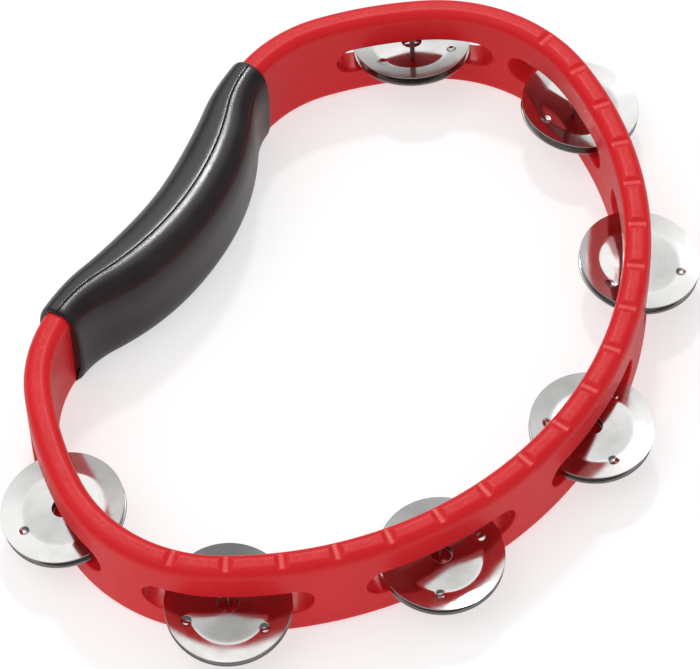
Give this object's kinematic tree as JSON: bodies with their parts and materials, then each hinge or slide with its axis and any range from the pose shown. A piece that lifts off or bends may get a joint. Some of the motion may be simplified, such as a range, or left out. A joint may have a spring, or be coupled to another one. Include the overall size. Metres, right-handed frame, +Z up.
{
  "type": "tambourine",
  "caption": "Crescent-shaped tambourine with a slotted plastic hoop, paired steel jingles loose on pins, and a split grip on an inward-bowed handle.",
  "frame": {"origin": "middle of the bounding box in plan, on the plane that the hoop's underside rests on", "axes": "+X towards the middle of the playing edge, away from the handle; +Y along the width; +Z up through the hoop, its axis of symmetry in plan being X"},
  "size_m": [0.2096, 0.295, 0.0408],
  "materials": {
    "hoop_plastic": "satin-gloss moulded ABS",
    "grip_plastic": "satin moulded plastic",
    "jingle_steel": "bright polished steel",
    "pin_steel": "drawn steel wire"
  },
  "bodies": {
    "hoop": {"frame": "hoop_plastic", "grip_outer_half": "grip_plastic", "grip_inner_half": "grip_plastic", "pin_1": "pin_steel", "pin_2": "pin_steel", "pin_3": "pin_steel", "pin_4": "pin_steel", "pin_5": "pin_steel", "pin_6": "pin_steel", "pin_7": "pin_steel"},
    "jingle_1_lower": {"jingle_1_lower": "jingle_steel"},
    "jingle_1_upper": {"jingle_1_upper": "jingle_steel"},
    "jingle_2_lower": {"jingle_2_lower": "jingle_steel"},
    "jingle_2_upper": {"jingle_2_upper": "jingle_steel"},
    "jingle_3_lower": {"jingle_3_lower": "jingle_steel"},
    "jingle_3_upper": {"jingle_3_upper": "jingle_steel"},
    "jingle_4_lower": {"jingle_4_lower": "jingle_steel"},
    "jingle_4_upper": {"jingle_4_upper": "jingle_steel"},
    "jingle_5_lower": {"jingle_5_lower": "jingle_steel"},
    "jingle_5_upper": {"jingle_5_upper": "jingle_steel"},
    "jingle_6_lower": {"jingle_6_lower": "jingle_steel"},
    "jingle_6_upper": {"jingle_6_upper": "jingle_steel"},
    "jingle_7_lower": {"jingle_7_lower": "jingle_steel"},
    "jingle_7_upper": {"jingle_7_upper": "jingle_steel"}
  },
  "joints": [
    {"name": "jingle_1_lower_slide", "type": "slide", "parent": "hoop", "child": "jingle_1_lower", "axis": [0, 0, 1], "range_m": [0, 0.0028]},
    {"name": "jingle_1_upper_slide", "type": "slide", "parent": "jingle_1_lower", "child": "jingle_1_upper", "axis": [0, 0, 1], "range_m": [0, 0.0028]},
    {"name": "jingle_2_lower_slide", "type": "slide", "parent": "hoop", "child": "jingle_2_lower", "axis": [0, 0, 1], "range_m": [0, 0.0028]},
    {"name": "jingle_2_upper_slide", "type": "slide", "parent": "jingle_2_lower", "child": "jingle_2_upper", "axis": [0, 0, 1], "range_m": [0, 0.0028]},
    {"name": "jingle_3_lower_slide", "type": "slide", "parent": "hoop", "child": "jingle_3_lower", "axis": [0, 0, 1], "range_m": [0, 0.0032]},
    {"name": "jingle_3_upper_slide", "type": "slide", "parent": "jingle_3_lower", "child": "jingle_3_upper", "axis": [0, 0, 1], "range_m": [0, 0.0032]},
    {"name": "jingle_4_lower_slide", "type": "slide", "parent": "hoop", "child": "jingle_4_lower", "axis": [0, 0, 1], "range_m": [0, 0.0033]},
    {"name": "jingle_4_upper_slide", "type": "slide", "parent": "jingle_4_lower", "child": "jingle_4_upper", "axis": [0, 0, 1], "range_m": [0, 0.0033]},
    {"name": "jingle_5_lower_slide", "type": "slide", "parent": "hoop", "child": "jingle_5_lower", "axis": [0, 0, 1], "range_m": [0, 0.0032]},
    {"name": "jingle_5_upper_slide", "type": "slide", "parent": "jingle_5_lower", "child": "jingle_5_upper", "axis": [0, 0, 1], "range_m": [0, 0.0032]},
    {"name": "jingle_6_lower_slide", "type": "slide", "parent": "hoop", "child": "jingle_6_lower", "axis": [0, 0, 1], "range_m": [0, 0.0028]},
    {"name": "jingle_6_upper_slide", "type": "slide", "parent": "jingle_6_lower", "child": "jingle_6_upper", "axis": [0, 0, 1], "range_m": [0, 0.0028]},
    {"name": "jingle_7_lower_slide", "type": "slide", "parent": "hoop", "child": "jingle_7_lower", "axis": [0, 0, 1], "range_m": [0, 0.0028]},
    {"name": "jingle_7_upper_slide", "type": "slide", "parent": "jingle_7_lower", "child": "jingle_7_upper", "axis": [0, 0, 1], "range_m": [0, 0.0028]}
  ]
}
